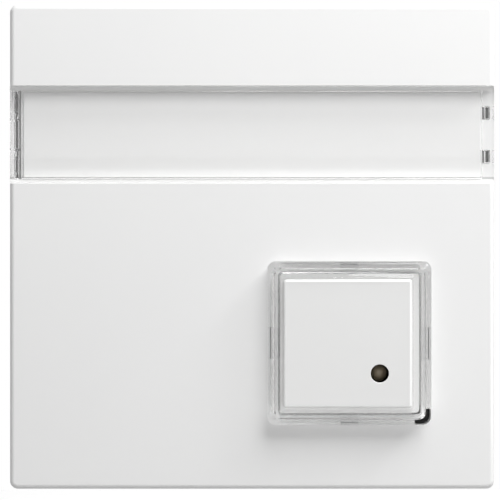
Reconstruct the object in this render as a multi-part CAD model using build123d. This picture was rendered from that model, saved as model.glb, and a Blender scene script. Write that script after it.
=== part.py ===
from build123d import *
from math import atan, cos, degrees, pi, sin
import os

# A flush bell push: a square plate with a name strip and one small key in a clear collar.
# Every piece is drawn lying on its back: X to the right, Y up the wall, Z out of the wall, in mm.
# The wall is Z = 0 and the middle of the plate is the origin. Export stands each piece upright.

# Front plate
plate_side = 80.0
plate_height = 11.0
plate_wall = 2.0
rim_wall = 1.6
rim_draft = 0.8
plate_corner = 1.3
plate_round = 0.8
rib_thickness = 1.0
rib_drop = 1.4
rib_pitch = 9.0

# Name strip: the trough across the plate, its card and its clear cover
window_height = 16.1
window_centre = 18.47
window_depth = 2.4
trough_wall = 1.5
cover_gap = 0.1
cover_front = 0.8
cover_side = 0.8
end_wall = 0.7
end_pocket = 0.8
pocket_wall = 0.5
pocket_web = 0.3
pocket_count = 3
tongue_width = 2.0
tongue_reach = 1.3
tongue_spread = 3.55
end_slot_width = 1.1
end_slot_depth = 4.0
card_thickness = 0.3
card_gap = 0.2

# Clear collar round the key
button_x = 16.0
button_y = -15.85
collar_side = 26.7
collar_corner = 1.25
collar_rise = 3.3
collar_wall = 1.6
shoulder_width = 1.2
shoulder_drop = 1.0
step_width = 1.0
step_drop = 1.7
step_thickness = 1.0
collar_gap = 0.1
notch_length = 2.75
notch_width = 0.95
leg_thickness = 1.0
leg_width_side = 4.8
leg_width_end = 2.5
leg_length = 3.9
leg_barb = 0.55
leg_gap = 0.15

# Well of the plate, which the collar drops into
well_wall = 1.2
ledge_thickness = 2.3
skirt_gap = 0.3

# Key, which sits a little left of the collar's middle
key_shift = 0.3
key_drop = 0.75
key_wall = 1.2
key_corner = 0.45
key_gap = 0.25
key_travel = 1.2
key_rib = 0.8
key_rib_height = 0.7
flange_thickness = 1.0
flange_gap = 0.3
stop_gap = 0.1
landing_gap = 0.15
pusher_side = 2.6
pusher_length = 1.1
contact_gap = 0.05

# Guide frame of the key
guide_base = 1.2
guide_margin = 0.5
guide_wall = 1.0
slide_gap = 0.2
boss_radius = 2.5
boss_offset = 15.6
screw_radius = 1.0
screw_head_radius = 1.9
screw_head_height = 1.1
screw_bite = 2.4
thread_gap = 0.03

# Return springs of the key
spring_radius = 1.3
spring_wire = 0.18
spring_turns = 5
spring_offset = 6.4
spring_peg_radius = 0.9
spring_peg_length = 1.2
spring_seat_gap = 0.02

# Support ring
ring_margin = 2.9
ring_thickness = 1.0
ring_corner = 6.0
ring_opening = 45.0
ring_opening_corner = 5.0
screw_spacing = 60.0
slot_radius = 2.1
slot_length = 7.4
lug_notch_width = 9.0
lug_notch_depth = 1.2

# Board carrier and circuit board
carrier_side = 51.0
carrier_wall = 1.2
carrier_floor = 1.4
carrier_corner = 2.0
carrier_rise = 0.9
board_thickness = 1.6
board_clearance = 0.5
board_gap = 0.2
board_corner = 1.0
board_hook_width = 5.0
board_hook_reach = 0.7
board_hook_gap = 0.05
hook_slit = 0.8
clip_width = 7.0
clip_thickness = 1.0
clip_reach = 0.9
clip_length = 1.5
clip_gap = 0.2

# Snap hooks of the plate
hook_width = 5.0
hook_thickness = 1.4
hook_barb = 0.9
hook_gap = 0.15
hook_offset = 17.0
window_clearance = 0.5
hook_barb_height = 1.5

# Momentary switch under the key
switch_shift = 1.6
switch_side = 8.4
switch_height = 5.2
switch_wall = 0.8
switch_floor = 0.9
switch_lid = 0.3
lid_tab_width = 2.4
lid_tab_length = 2.0
plunger_side = 3.4
plunger_flange = 1.6
plunger_gap = 0.1
bridge_thickness = 0.3
bridge_width = 4.6
bridge_hole = 1.8
contact_pitch = 4.4
contact_width = 1.2
contact_pad = 0.4
pin_width = 0.8
pin_thickness = 0.3
pin_reach = 0.9
plunger_spring_radius = 1.1
plunger_spring_wire = 0.15
plunger_spring_turns = 4

# Lamp
lamp_offset = 4.9
lamp_radius = 1.5
lamp_length = 5.3
lamp_flange_radius = 1.9
lamp_flange = 1.0
lamp_hole_radius = 1.5
lamp_gap = 0.25
lead_pitch = 2.54
lead_side = 0.5
lead_hole_gap = 0.1
lead_room = 1.0

# Lamp's resistor and diode on the board
bead_radius = 1.15
bead_length = 6.3
bead_neck = 0.9
bead_lift = 0.15
bead_span = 10.16
bead_lead_radius = 0.3
resistor_x = -10.0
resistor_y = -9.0
diode_x = -10.0
diode_y = -14.0

# Terminal block behind the board
terminal_x = -10.0
terminal_y = 4.0
terminal_count = 4
terminal_pitch = 5.08
terminal_depth = 8.2
terminal_height = 10.0
terminal_end = 0.2
port_width = 3.5
port_height = 4.9
port_floor = 1.0
port_back = 1.2
terminal_screw_radius = 1.05
terminal_head_radius = 1.6
terminal_head_height = 1.5
terminal_well_radius = 1.75
clamp_gap = 0.1
clamp_depth = 4.6
clamp_wall = 0.6
clamp_roof = 1.6
terminal_pin_side = 0.8
driver_slot_width = 0.5
driver_slot_depth = 0.6

# Heights out of the wall
face = plate_height
inner_face = face - plate_wall
trough_floor = face - window_depth
board_back = ring_thickness + carrier_floor
board_top = board_back + board_thickness
guide_back = board_top + board_clearance + screw_head_height
guide_top = guide_back + guide_base
ledge_back = guide_top
collar_base = ledge_back + ledge_thickness
crest = face + collar_rise
step_top = crest - step_drop
step_back = step_top - step_thickness
key_face = crest - key_drop
key_back = key_face - key_wall
skirt_end = guide_top + key_travel + landing_gap
flange_top = step_back - stop_gap
plunger_top = key_back - pusher_length - contact_gap
switch_top = board_top + switch_height
lamp_tip = key_back - key_travel - lamp_gap
lamp_base = lamp_tip - lamp_length

# Plan sizes that follow from the fits
window_low = window_centre - window_height / 2
ring_side = plate_side - 2 * (rim_wall + ring_margin)
well_opening = collar_side + 2 * collar_gap
well_side = well_opening + 2 * well_wall
collar_inside = collar_side - 2 * collar_wall
step_opening = collar_inside - 2 * step_width
key_side = step_opening - 2 * key_gap
key_inside = key_side - 2 * key_wall
ledge_opening = key_side + 2 * skirt_gap
flange_side = collar_inside - 2 * flange_gap
guide_side = well_side - 2 * guide_margin
upright_side = key_inside - 2 * slide_gap
upright_top = key_back - key_rib_height - key_travel - landing_gap
leg_inner = collar_inside / 2
leg_outer = leg_inner + leg_thickness
key_x = button_x - key_shift
key_y = button_y
switch_x = key_x - switch_shift
switch_y = key_y + switch_shift
switch_inside = switch_side - 2 * switch_wall
lamp_x = button_x + lamp_offset
lamp_y = button_y - lamp_offset
carrier_inside = carrier_side - 2 * carrier_wall
carrier_opening = ring_opening - 2 * clip_gap - 2 * clip_thickness
board_side = carrier_inside - 2 * board_gap
terminal_back = board_back - terminal_height
terminal_length = terminal_count * terminal_pitch + 2 * terminal_end
terminal_places = [
    terminal_x + (i - (terminal_count - 1) / 2) * terminal_pitch for i in range(terminal_count)
]

OVERRUN = 1.0
COIL_STEPS = 8
WIRE_SIDES = 6
THREAD_SIDES = 8


def slab(width, depth, low, high, corner=0, x=0, y=0, draft=0):
    """An upright block between two heights, on a rectangle with its corners rounded if asked."""
    outline = RectangleRounded(width, depth, corner) if corner else Rectangle(width, depth)
    return Pos(x, y, low) * extrude(outline, high - low, taper=draft)


def post(radius, low, high, x=0, y=0):
    """An upright round post between two heights."""
    return Pos(x, y, low) * extrude(Circle(radius), high - low)


def profile(points, width):
    """A bar with this side view, drawn outward and upward, and as wide as asked across it."""
    side_view = Plane.XZ * make_face(Polyline(*points, close=True))
    return extrude(side_view, width / 2, both=True)


def on_side(angle, shape, along=0, x=0, y=0):
    """A shape drawn at the right-hand side, carried round to another side of a centre."""
    return Pos(x, y, 0) * Rot(0, 0, angle) * Pos(0, along, 0) * shape


def drill(radius, low, high, x=0, y=0):
    """A small drilled hole between two heights, drawn with eight flats that lie at the radius."""
    return Pos(x, y, low) * extrude(RegularPolygon(radius, THREAD_SIDES, major_radius=False), high - low)


def shank(radius, low, high, x=0, y=0):
    """The hidden threaded part of a screw, drawn with eight edges that lie at the radius."""
    return Pos(x, y, low) * extrude(RegularPolygon(radius, THREAD_SIDES), high - low)


def coil(radius, wire, turns, low, high, x, y):
    """A compression spring between two seats, each turn drawn as eight short runs of six-sided wire."""
    steps = turns * COIL_STEPS
    rise = (high - low - 2 * wire) / steps
    turn = 2 * pi / COIL_STEPS
    path = Polyline(*[(radius * cos(i * turn), radius * sin(i * turn), i * rise) for i in range(steps + 1)])
    section = Plane(path @ 0, z_dir=path % 0) * RegularPolygon(wire, WIRE_SIDES)
    return Pos(x, y, low + wire) * sweep(section, path=path, transition=Transition.RIGHT)


def edges_at(shape, height):
    """The edges that lie flat at one height."""
    return shape.edges().filter_by_position(Axis.Z, height - 0.001, height + 0.001)


def pocket_pitch():
    """From one pocket of the cover's left end to the next."""
    clear = window_height - 2 * cover_gap - 2 * cover_side + pocket_web
    return clear / pocket_count


def front_plate():
    """The moulded shell with its trough, its well, its bosses, its ribs and its four snap hooks."""
    shell = slab(plate_side, plate_side, 0, face, draft=rim_draft)
    shell = fillet(shell.edges() - edges_at(shell, 0) - edges_at(shell, face), plate_corner)
    shell = fillet(edges_at(shell, face), plate_round)
    inside = plate_side - 2 * rim_wall
    shell -= slab(inside, inside, -OVERRUN, inner_face, draft=rim_draft)

    ribs_low = inner_face - rib_drop
    lower_depth = window_low + inside / 2
    lower_centre = (window_low - inside / 2) / 2
    left_edge = button_x - well_side / 2
    rib_count = int((left_edge + inside / 2) // rib_pitch)
    for i in range(1, rib_count):
        rib_x = left_edge - i * rib_pitch
        shell += slab(rib_thickness, lower_depth, ribs_low, inner_face, x=rib_x, y=lower_centre)

    trough_depth = window_height + 2 * trough_wall
    trough_back = trough_floor - trough_wall
    shell += slab(inside, trough_depth, trough_back, inner_face, y=window_centre)
    shell += slab(well_side, well_side, ledge_back, inner_face, x=button_x, y=button_y)
    for side in (-1, 1):
        boss_x = button_x + side * boss_offset
        boss_y = button_y - side * boss_offset
        shell += post(boss_radius, ledge_back, inner_face, boss_x, boss_y)
    for angle, along in plate_hook_places():
        shell += on_side(angle, plate_hook(), along)

    length = plate_side + 2 * OVERRUN
    shell -= slab(length, window_height, trough_floor, face + OVERRUN, y=window_centre)
    slot_low = trough_floor - end_slot_depth
    slot_outer = plate_side / 2 - cover_gap - end_wall
    slot_y = window_height - 2 * (cover_gap + cover_side)
    slot_x = end_slot_width / 2 - slot_outer
    shell -= slab(end_slot_width, slot_y, slot_low, face, x=slot_x, y=window_centre)
    socket_x = end_pocket + pocket_wall + cover_gap
    socket_y = tongue_width + 2 * cover_gap
    for side in (-1, 1):
        tongue_y = window_centre + side * tongue_spread
        shell -= slab(socket_x, socket_y, slot_low, face, x=slot_outer - socket_x / 2, y=tongue_y)

    opening = slab(well_opening, well_opening, 0, face + OVERRUN, collar_corner + collar_gap)
    opening = Pos(button_x, button_y, 0) * opening
    shell -= opening & slab(well_side, well_side, collar_base, face + OVERRUN, x=button_x, y=button_y)
    shell -= opening & corner_notch(0, face)
    ledge_corner = key_corner + skirt_gap
    shell -= slab(ledge_opening, ledge_opening, 0, face, ledge_corner, key_x, key_y)
    for angle, width in leg_places():
        reach = leg_outer + leg_gap
        slot = slab(reach, width + 2 * leg_gap, 0, collar_base, x=reach / 2)
        shell -= on_side(angle, slot, x=button_x, y=button_y)
    for side in (-1, 1):
        boss_x = button_x + side * boss_offset
        boss_y = button_y - side * boss_offset
        shell -= drill(screw_radius + thread_gap, 0, ledge_back + screw_bite, boss_x, boss_y)
    return shell


def plate_hook_places():
    """The side of the plate, as an angle, and the place along it of each snap hook."""
    return [(0, hook_offset), (180, hook_offset), (180, -hook_offset), (270, -hook_offset)]


def plate_hook():
    """One snap hook: an arm down to the ring, with a sloped barb that faces inwards."""
    inner = carrier_side / 2 + hook_gap
    outer = inner + hook_thickness
    tip = ring_thickness + hook_gap
    catch = tip + hook_barb_height
    nose = inner - hook_barb
    lead = tip + hook_barb_height - hook_barb / 2
    points = [
        (outer, inner_face + OVERRUN),
        (inner, inner_face + OVERRUN),
        (inner, catch),
        (nose, catch),
        (nose, lead),
        (inner, tip),
        (outer, tip),
    ]
    return profile(points, hook_width)


def tongue_places():
    """The middles of the cover's tongues: two in its left pockets and two on its right inner wall."""
    pocket_x = plate_side / 2 - cover_gap - end_wall - end_pocket / 2
    wall_x = pocket_x - (end_pocket + pocket_wall) / 2
    places = []
    for side in (-1, 1):
        places.append((-pocket_x, window_centre + side * pocket_pitch()))
        places.append((wall_x, window_centre + side * tongue_spread))
    return places


def corner_notch(low, high):
    """The bent gap at the lower right corner, where the collar and the ledge below it are cut back."""
    corner = collar_side / 2 - notch_length / 2
    notch = slab(notch_length, notch_length, low, high, x=corner, y=-corner)
    notch += Pos(OVERRUN / 2, -OVERRUN / 2, 0) * notch
    kept_side = collar_side - 2 * notch_width
    notch -= slab(kept_side, kept_side, low - OVERRUN, high + OVERRUN, collar_corner)
    return Pos(button_x, button_y, 0) * notch


def label_cover():
    """The clear cover: a shallow lid with open pockets in its ends and four tongues behind."""
    length = plate_side - 2 * cover_gap
    depth = window_height - 2 * cover_gap
    base = trough_floor + contact_gap
    cover = slab(length, depth, base, face, y=window_centre)
    ends = edges_at(cover, face).filter_by(Axis.Y)
    cover = fillet(ends, plate_round)
    end_block = end_wall + end_pocket + pocket_wall
    room = length - 2 * end_block
    cover_back = face - cover_front
    clear = depth - 2 * cover_side
    cover -= slab(room, clear, base - OVERRUN, cover_back, y=window_centre)
    pocket_height = pocket_pitch() - pocket_web
    pocket_x = -length / 2 + end_wall + end_pocket / 2
    for i in range(pocket_count):
        pocket_y = window_centre + (i - (pocket_count - 1) / 2) * pocket_pitch()
        cover -= slab(end_pocket, pocket_height, base - OVERRUN, cover_back, x=pocket_x, y=pocket_y)
    for side in (-1, 1):
        pocket_y = window_centre + side * tongue_spread
        cover -= slab(end_pocket, tongue_width, base - OVERRUN, cover_back, x=-pocket_x, y=pocket_y)
    for tongue_x, tongue_y in tongue_places():
        cover += slab(pocket_wall, tongue_width, base - tongue_reach, cover_back, x=tongue_x, y=tongue_y)
    return cover


def label_card():
    """The card behind the cover, between the cover's inner end walls."""
    room = plate_side - 2 * (cover_gap + end_wall + end_pocket + pocket_wall)
    depth = window_height - 2 * cover_gap - 2 * cover_side
    low = trough_floor
    return slab(room - 2 * card_gap, depth - 2 * card_gap, low, low + card_thickness, y=window_centre)


def leg_places():
    """The side of the collar, as an angle, and the width of each of its snap legs."""
    return [(0, leg_width_side), (90, leg_width_end), (180, leg_width_side), (270, leg_width_end)]


def snap_leg(width):
    """One leg under the collar's wall, with a barb that faces outwards below the ledge."""
    catch = ledge_back - contact_gap
    tip = collar_base - leg_length
    points = [
        (leg_inner, step_back),
        (leg_outer, step_back),
        (leg_outer, catch),
        (leg_outer + leg_barb, catch),
        (leg_outer, tip),
        (leg_inner, tip),
    ]
    return profile(points, width)


def light_collar():
    """The clear collar: a wall with a sloped shoulder, a step for the key, and four snap legs."""
    shoulder_low = crest - shoulder_drop
    slope = degrees(atan(shoulder_width / shoulder_drop))
    ring = slab(collar_side, collar_side, collar_base, shoulder_low, collar_corner)
    ring += slab(collar_side, collar_side, shoulder_low, crest, collar_corner, draft=slope)
    ring -= slab(collar_inside, collar_inside, step_top, crest + OVERRUN, collar_corner / 2)
    ring -= slab(step_opening, step_opening, collar_base - OVERRUN, crest, key_corner, x=-key_shift)
    ring -= slab(collar_inside, collar_inside, collar_base - OVERRUN, step_back, collar_corner / 2)
    for angle, width in leg_places():
        ring += on_side(angle, snap_leg(width))
    return Pos(button_x, button_y, 0) * ring - corner_notch(collar_base - OVERRUN, crest + OVERRUN)


def key_cap():
    """The key: a square cap with a stop flange, ribs, two spring pegs and the lamp's hole."""
    cap = slab(key_side, key_side, skirt_end, key_face)
    cap = fillet(edges_at(cap, key_face) + cap.edges().filter_by(Axis.Z), key_corner)
    flange_low = flange_top - flange_thickness
    cap += slab(flange_side, flange_side, flange_low, flange_top, key_corner, x=key_shift)
    cap -= slab(key_inside, key_inside, skirt_end - OVERRUN, key_back)
    rib_low = key_back - key_rib_height
    cap += slab(key_inside + key_rib, key_rib, rib_low, key_back, y=switch_shift)
    cap += slab(key_rib, key_inside + key_rib, rib_low, key_back, x=-switch_shift)
    pusher_low = key_back - pusher_length
    cap += slab(pusher_side, pusher_side, pusher_low, key_back, x=-switch_shift, y=switch_shift)
    for side in (-1, 1):
        place = side * spring_offset
        cap += post(spring_peg_radius, key_back - spring_peg_length, key_back, place, place)
    cap = Pos(key_x, key_y, 0) * cap
    return cap - post(lamp_hole_radius, key_back - OVERRUN, key_face + OVERRUN, lamp_x, lamp_y)


def key_guide():
    """The black frame behind the well: an upright square guide, spring seats and two screw ears."""
    frame = slab(guide_side, guide_side, guide_back, guide_top)
    ear_distance = boss_offset * 2**0.5
    neck = slab(2 * boss_radius, 2 * boss_radius, guide_back, guide_top, x=ear_distance - boss_radius)
    ear = neck + post(boss_radius, guide_back, guide_top, ear_distance)
    for angle in (-45, 135):
        frame += on_side(angle, ear)
    frame += slab(upright_side, upright_side, guide_back, upright_top, x=-key_shift)
    hollow = upright_side - 2 * guide_wall
    frame -= slab(hollow, hollow, guide_top, upright_top + OVERRUN, x=-key_shift)
    for angle, width in leg_places():
        inner = leg_inner - leg_gap
        outer = guide_side / 2 + OVERRUN
        slot = slab(outer - inner, width + 4 * leg_gap, 0, crest, x=(outer + inner) / 2)
        frame -= on_side(angle, slot)
    opening = switch_side + 2 * clamp_gap + 2 * switch_lid
    frame -= slab(opening, opening, 0, crest, x=-key_shift - switch_shift, y=switch_shift)
    frame -= post(lamp_flange_radius + lamp_gap, 0, crest, lamp_offset, -lamp_offset)
    for side in (-1, 1):
        ear_x = side * boss_offset
        frame -= drill(screw_radius + lead_hole_gap, 0, crest, ear_x, -ear_x)
    return Pos(button_x, button_y, 0) * frame


def guide_screws():
    """Two small pan-head screws from behind."""
    screws = []
    for side in (-1, 1):
        screw_x = button_x + side * boss_offset
        screw_y = button_y - side * boss_offset
        head_low = guide_back - screw_head_height
        head = post(screw_head_radius, head_low, guide_back, screw_x, screw_y)
        for turn in (0, 90):
            slot_top = head_low + driver_slot_depth
            bar = slab(2 * screw_radius, driver_slot_width, head_low - OVERRUN, slot_top)
            head -= Pos(screw_x, screw_y, 0) * Rot(0, 0, turn) * bar
        shank_end = ledge_back + screw_bite - contact_gap
        screws.append(head + shank(screw_radius, guide_back, shank_end, screw_x, screw_y))
    return screws


def key_spring(side):
    """One return spring of the key, standing on the guide frame round a peg of the key."""
    low = guide_top + spring_seat_gap
    high = key_back - spring_seat_gap
    place = side * spring_offset
    return coil(spring_radius, spring_wire, spring_turns, low, high, key_x + place, key_y + place)


def support_ring():
    """The steel ring on the wall, with a slot on each side for the wall box's screws."""
    ring = slab(ring_side, ring_side, 0, ring_thickness, ring_corner)
    ring -= slab(ring_opening, ring_opening, -OVERRUN, crest, ring_opening_corner)
    for angle in (0, 90, 180, 270):
        slot = Pos(screw_spacing / 2, 0, -OVERRUN) * extrude(
            SlotOverall(slot_length, 2 * slot_radius), ring_thickness + 2 * OVERRUN
        )
        ring -= on_side(angle, slot)
        notch = slab(2 * lug_notch_depth, lug_notch_width, -OVERRUN, crest, x=ring_side / 2)
        ring -= on_side(angle, notch, hook_offset)
    return ring


def board_carrier():
    """The moulded tray that holds the board and clips into the ring's opening."""
    top = board_top + carrier_rise
    tray = slab(carrier_side, carrier_side, ring_thickness, top, carrier_corner)
    tray -= slab(carrier_inside, carrier_inside, board_back, top + OVERRUN, board_corner)
    tray -= slab(carrier_opening, carrier_opening, 0, crest, ring_opening_corner)
    lead_clear = 2 * (lead_side + lead_room)
    tray -= slab(lead_pitch + lead_clear, lead_clear, 0, board_back, x=lamp_x, y=lamp_y)
    barb_low = board_top + board_hook_gap
    for angle in (0, 90, 180, 270):
        inner = carrier_inside / 2
        wall_outer = carrier_side / 2
        for side in (-1, 1):
            slit_y = side * (board_hook_width + hook_slit) / 2
            slit = slab(carrier_wall + 2 * OVERRUN, hook_slit, board_back, top + OVERRUN, x=wall_outer)
            tray -= on_side(angle, slit, slit_y)
        root = inner + carrier_wall / 2
        barb_points = [(root, barb_low), (inner - board_hook_reach, barb_low), (root, top)]
        tray += on_side(angle, profile(barb_points, board_hook_width))
        clip_outer = ring_opening / 2 - clip_gap
        clip_inner = clip_outer - clip_thickness
        tip = -clip_length
        clip = profile(
            [
                (clip_inner, board_back),
                (clip_outer, board_back),
                (clip_outer, -contact_gap),
                (clip_outer + clip_reach, -contact_gap),
                (clip_outer, tip),
                (clip_inner, tip),
            ],
            clip_width,
        )
        tray += on_side(angle, clip)
    catch_low = ring_thickness + hook_gap
    catch_high = catch_low + hook_barb_height + hook_gap
    for angle, along in plate_hook_places():
        window = slab(
            2 * carrier_wall, hook_width + window_clearance, catch_low, catch_high, x=carrier_side / 2
        )
        tray -= on_side(angle, window, along)
    return tray


def lead_hole():
    """The radius of a drilled hole for a lamp lead."""
    return lead_side / 2**0.5 + lead_hole_gap


def lamp_leads_places():
    """The middles of the lamp's two leads."""
    return [(lamp_x - lead_pitch / 2, lamp_y), (lamp_x + lead_pitch / 2, lamp_y)]


def bead_lead_places():
    """The middles of the drilled holes of the resistor and the diode."""
    half = bead_span / 2
    return [(x + side * half, y) for x, y in bead_places() for side in (-1, 1)]


def bead_places():
    """The middles of the resistor and the diode."""
    return [(resistor_x, resistor_y), (diode_x, diode_y)]


def circuit_board():
    """The board, drilled for every lead and slotted for the switch's flat pins."""
    board = slab(board_side, board_side, board_back, board_top, board_corner)
    for x, y in lamp_leads_places():
        board -= drill(lead_hole(), 0, crest, x, y)
    for x, y in bead_lead_places():
        board -= drill(bead_lead_radius + lead_hole_gap, 0, crest, x, y)
    for x in terminal_places:
        board -= drill(terminal_pin_side / 2**0.5 + lead_hole_gap, 0, crest, x, terminal_y)
    for side in (-1, 1):
        pin_x = switch_x + side * contact_pitch / 2
        width = pin_thickness + 2 * lead_hole_gap
        board -= slab(width, pin_width + 2 * lead_hole_gap, 0, crest, x=pin_x, y=switch_y)
    return board


def switch_base():
    """The switch's moulded cup, with two slots in its floor for the fixed contacts."""
    top = switch_top - switch_lid
    cup = slab(switch_side, switch_side, board_top, top)
    cup -= slab(switch_inside, switch_inside, board_top + switch_floor, top + OVERRUN)
    for side in (-1, 1):
        pin_x = side * contact_pitch / 2
        cup -= slab(pin_thickness, pin_width, 0, board_top + switch_floor + OVERRUN, x=pin_x)
    return Pos(switch_x, switch_y, 0) * cup


def switch_cover():
    """The switch's pressed lid, with two tabs folded down its sides."""
    lid = slab(switch_side, switch_side, switch_top - switch_lid, switch_top)
    lid -= slab(plunger_side + 2 * plunger_gap, plunger_side + 2 * plunger_gap, 0, crest)
    for side in (-1, 1):
        tab_x = side * (switch_side + switch_lid) / 2
        lid += slab(switch_lid, lid_tab_width, switch_top - lid_tab_length, switch_top, x=tab_x)
    return Pos(switch_x, switch_y, 0) * lid


def plunger_shelf():
    """The heights of the underside and the top of the plunger's flange at rest."""
    top = switch_top - switch_lid - contact_gap
    return top - plunger_flange, top


def switch_plunger():
    """The switch's plunger: a stem through the lid and a wide flange inside the cup."""
    low, high = plunger_shelf()
    flange_width = switch_inside - 2 * plunger_gap
    stem = slab(plunger_side, plunger_side, high, plunger_top)
    return Pos(switch_x, switch_y, 0) * (stem + slab(flange_width, flange_width, low, high))


def contact_bridge():
    """The brass bar under the plunger, which joins the fixed contacts when the key is down."""
    low = plunger_shelf()[0]
    flange_width = switch_inside - 2 * plunger_gap
    bar = slab(flange_width, bridge_width, low - bridge_thickness, low)
    bar -= drill(bridge_hole, 0, crest)
    return Pos(switch_x, switch_y, 0) * bar


def fixed_contacts():
    """Two brass contacts on the cup's floor, each with a flat pin through the board."""
    floor = board_top + switch_floor
    contacts = []
    for side in (-1, 1):
        pad_x = switch_x + side * (contact_pitch / 2 + contact_width / 2 - pin_thickness / 2)
        pad = slab(contact_width, bridge_width, floor, floor + contact_pad, x=pad_x, y=switch_y)
        pin_x = switch_x + side * contact_pitch / 2
        pad += slab(pin_thickness, pin_width, board_back - pin_reach, floor, x=pin_x, y=switch_y)
        contacts.append(pad)
    return contacts


def plunger_spring():
    """The switch's own spring, from the cup's floor through the bridge to the plunger."""
    low = board_top + switch_floor + spring_seat_gap
    high = plunger_shelf()[0] - spring_seat_gap
    return coil(
        plunger_spring_radius, plunger_spring_wire, plunger_spring_turns, low, high, switch_x, switch_y
    )


def status_led():
    """The lamp: a domed round body on a flange with one flat."""
    body = post(lamp_radius, lamp_base, lamp_tip - lamp_radius)
    body += Pos(0, 0, lamp_tip - lamp_radius) * Sphere(lamp_radius)
    body += post(lamp_flange_radius, lamp_base, lamp_base + lamp_flange)
    flat = slab(OVERRUN, 4 * lamp_radius, 0, crest, x=-lamp_radius - OVERRUN / 2 - contact_gap)
    return Pos(lamp_x, lamp_y, 0) * (body - flat)


def led_spacer():
    """The short sleeve that holds the lamp up from the board."""
    sleeve = post(lamp_flange_radius, board_top, lamp_base, lamp_x, lamp_y)
    for x, y in lamp_leads_places():
        sleeve -= drill(lead_hole(), 0, crest, x, y)
    return sleeve


def led_leads():
    """The lamp's two square leads, down through the spacer and the board."""
    low = board_back - pin_reach
    return [slab(lead_side, lead_side, low, lamp_base, x=x, y=y) for x, y in lamp_leads_places()]


def bead(x, y, necked):
    """An axial part's body lying on the board, waisted for a resistor and plain for a diode."""
    radius = bead_radius
    waist = radius * bead_neck if necked else radius
    half = bead_length / 2
    end = bead_length / 5
    outline = Polyline(
        (-half, 0), (-half, radius), (end - half, radius), (end - half, waist),
        (half - end, waist), (half - end, radius), (half, radius), (half, 0), close=True,
    ) if necked else Polyline((-half, 0), (-half, radius), (half, radius), (half, 0), close=True)
    body = revolve(make_face(outline), Axis.X)
    return Pos(x, y, board_top + bead_lift + radius) * body


def bead_leads(x, y):
    """The two wires of an axial part, each bent down through the board."""
    centre = board_top + bead_lift + bead_radius
    bend = 2 * bead_lead_radius
    leads = []
    for side in (-1, 1):
        start = side * bead_length / 2
        corner = side * bead_span / 2
        tail = board_back - pin_reach
        turn = corner - side * bend
        path = Polyline((start, 0, centre), (turn, 0, centre), (corner, 0, centre - bend), (corner, 0, tail))
        section = Plane(path @ 0, z_dir=path % 0) * RegularPolygon(bead_lead_radius, WIRE_SIDES)
        leads.append(Pos(x, y, 0) * sweep(section, path=path, transition=Transition.RIGHT))
    return leads


def port_heights():
    """The floor and the top of a wire port, counted out of the wall."""
    high = board_back - port_floor
    return high - port_height, high


def terminal_block():
    """The housing of the four wire clamps, with a port and a screw well for each."""
    block = slab(terminal_length, terminal_depth, terminal_back, board_back, x=terminal_x, y=terminal_y)
    low, high = port_heights()
    front = terminal_y - terminal_depth / 2
    for x in terminal_places:
        cut = terminal_depth - port_back + OVERRUN
        block -= slab(port_width, cut, low, high, x=x, y=front + cut / 2 - OVERRUN)
        block -= post(terminal_well_radius, terminal_back - OVERRUN, low + OVERRUN, x, terminal_y)
        hole = terminal_pin_side / 2**0.5 + lead_hole_gap
        block -= drill(hole, high - OVERRUN, crest, x, terminal_y)
    return block


def terminal_clamps():
    """Four brass cages, each open along the wire's way in."""
    low, high = port_heights()
    width = port_width - 2 * clamp_gap
    clamps = []
    for x in terminal_places:
        cage = slab(width, clamp_depth, low + clamp_gap, high - clamp_gap, x=x, y=terminal_y)
        inner = width - 2 * clamp_wall
        room_low = low + clamp_gap + clamp_roof
        cage -= slab(inner, terminal_depth, room_low, high - clamp_gap - clamp_wall, x=x, y=terminal_y)
        thread_radius = terminal_screw_radius + thread_gap
        cage -= drill(thread_radius, terminal_back, room_low + contact_gap, x, terminal_y)
        clamps.append(cage)
    return clamps


def terminal_screws():
    """Four slotted screws, reached from behind, each threaded through the roof of its cage."""
    low = port_heights()[0]
    head_low = low - terminal_head_height
    screws = []
    for x in terminal_places:
        head = post(terminal_head_radius, head_low, low)
        slot_top = head_low + driver_slot_depth
        slot = slab(4 * terminal_head_radius, driver_slot_width, head_low - OVERRUN, slot_top)
        thread = shank(terminal_screw_radius, low, low + clamp_gap + clamp_roof + contact_gap)
        screws.append(Pos(x, terminal_y, 0) * (head - slot + thread))
    return screws


def terminal_pins():
    """Four square pins from the cages through the board."""
    low = port_heights()[1] - clamp_gap
    side = terminal_pin_side
    return [slab(side, side, low, board_top + pin_reach, x=x, y=terminal_y) for x in terminal_places]


def save(name, made):
    """Stand a piece, or a group of like pieces, against the wall and write it."""
    pieces = made if isinstance(made, list) else [made]
    solids = [s for piece in pieces for s in (Plane.XZ.location * piece).solids()]
    whole = solids[0] if len(solids) == 1 else Compound(children=solids)
    export_step(whole, os.path.join("parts", name + ".step"))


os.makedirs("parts", exist_ok=True)
save("front_plate", front_plate())
save("label_cover", label_cover())
save("label_card", label_card())
save("light_collar", light_collar())
save("key_cap", key_cap())
save("key_guide", key_guide())
save("guide_screws", guide_screws())
save("key_spring_lower", key_spring(-1))
save("key_spring_upper", key_spring(1))
save("support_ring", support_ring())
save("board_carrier", board_carrier())
save("circuit_board", circuit_board())
save("switch_base", switch_base())
save("switch_cover", switch_cover())
save("switch_plunger", switch_plunger())
save("contact_bridge", contact_bridge())
save("fixed_contacts", fixed_contacts())
save("plunger_spring", plunger_spring())
save("status_led", status_led())
save("led_spacer", led_spacer())
save("led_leads", led_leads())
save("lamp_resistor", bead(resistor_x, resistor_y, True))
save("lamp_resistor_leads", bead_leads(resistor_x, resistor_y))
save("lamp_diode", bead(diode_x, diode_y, False))
save("lamp_diode_leads", bead_leads(diode_x, diode_y))
save("terminal_block", terminal_block())
save("terminal_clamps", terminal_clamps())
save("terminal_screws", terminal_screws())
save("terminal_pins", terminal_pins())
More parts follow.
